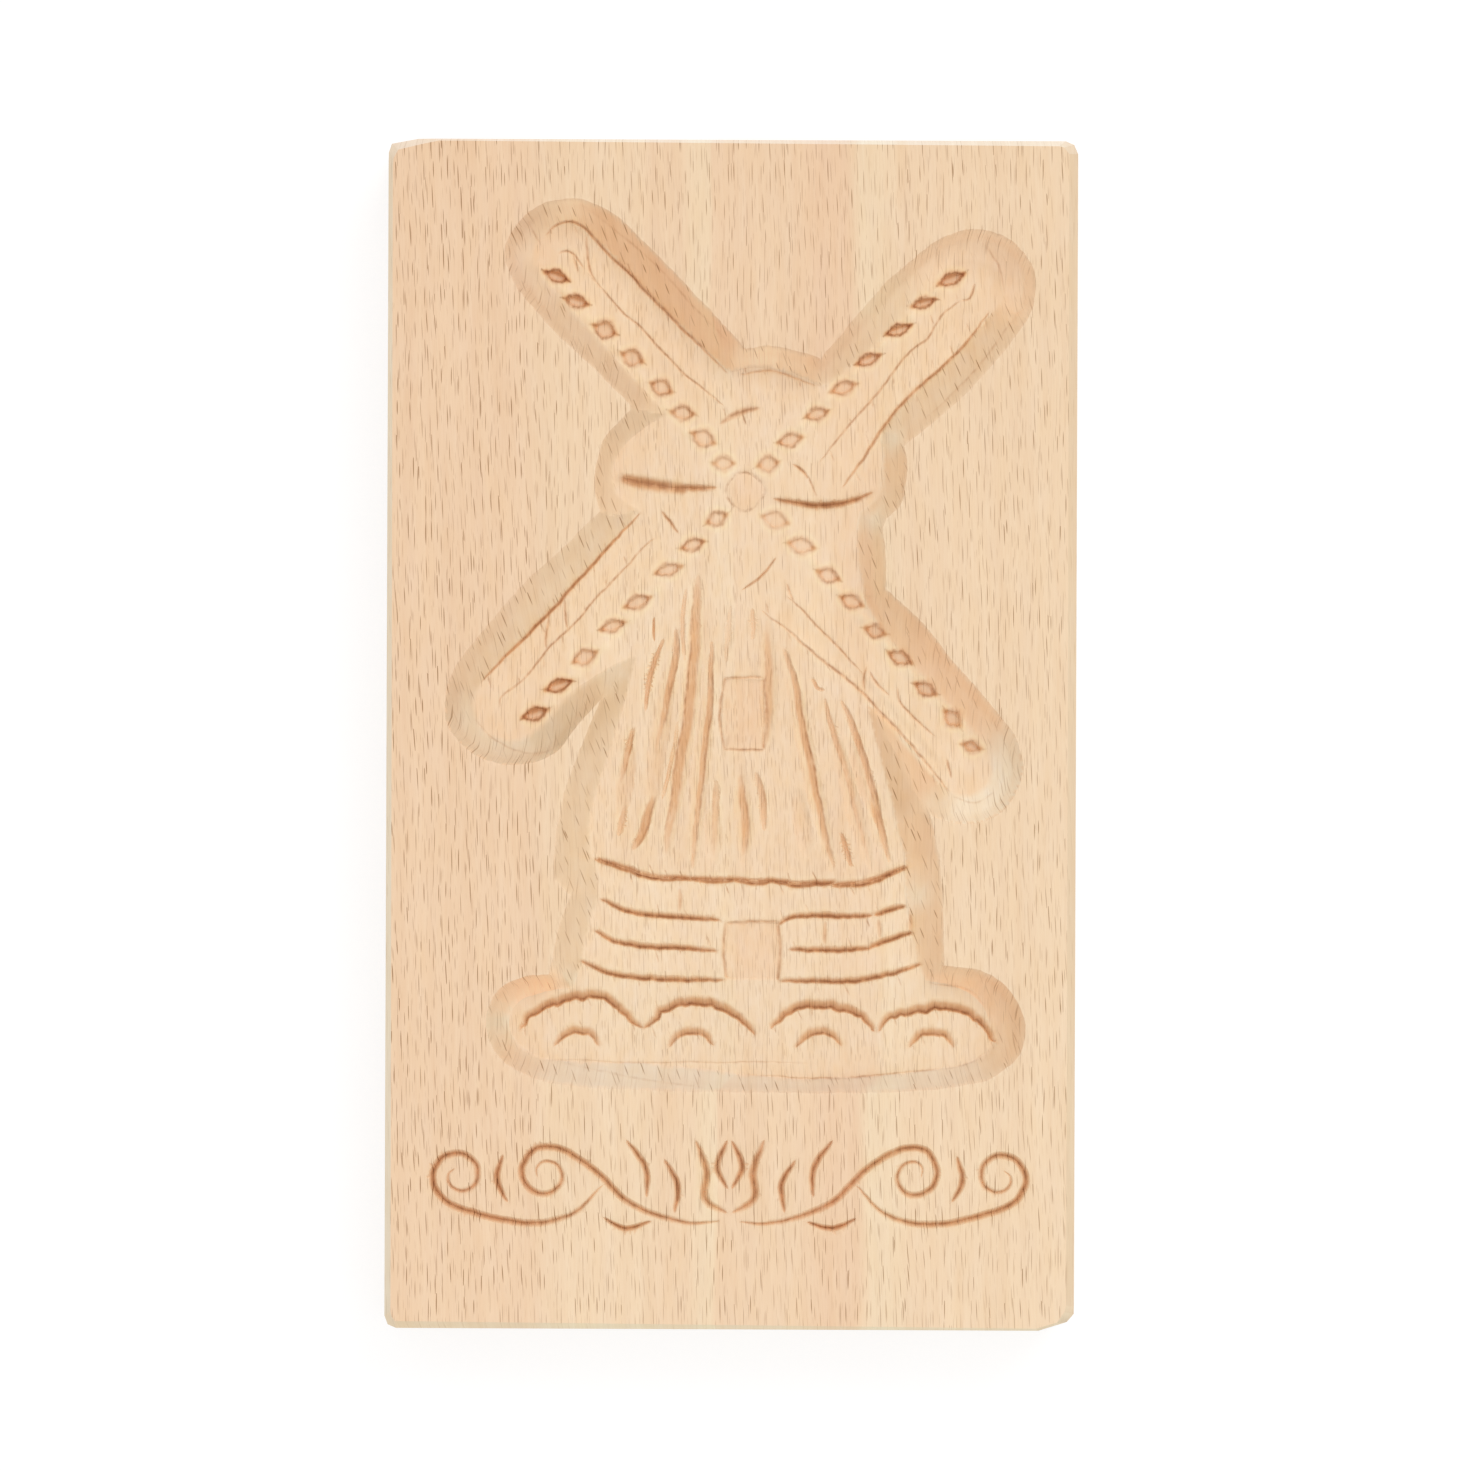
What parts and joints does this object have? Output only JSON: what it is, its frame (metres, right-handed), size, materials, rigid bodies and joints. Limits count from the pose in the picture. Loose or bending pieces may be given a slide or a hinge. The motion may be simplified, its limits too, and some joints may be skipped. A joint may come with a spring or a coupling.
{
  "type": "carved wooden cookie mould",
  "caption": "Flat beech board with a windmill carved into its face as a sloping-walled hollow and a scroll ornament below, for pressing spiced biscuit dough.",
  "frame": {"origin": "middle of the flat back face, on the surface that the board lies on", "axes": "+X across the board, +Y along the grain from the mound towards the sails' upper ends, +Z out of the carved face"},
  "size_m": [0.12, 0.207, 0.02],
  "materials": {
    "beech": "bare sanded beech, darker in the cuts"
  },
  "bodies": {
    "root": {"mould_board": "beech"}
  },
  "joints": []
}
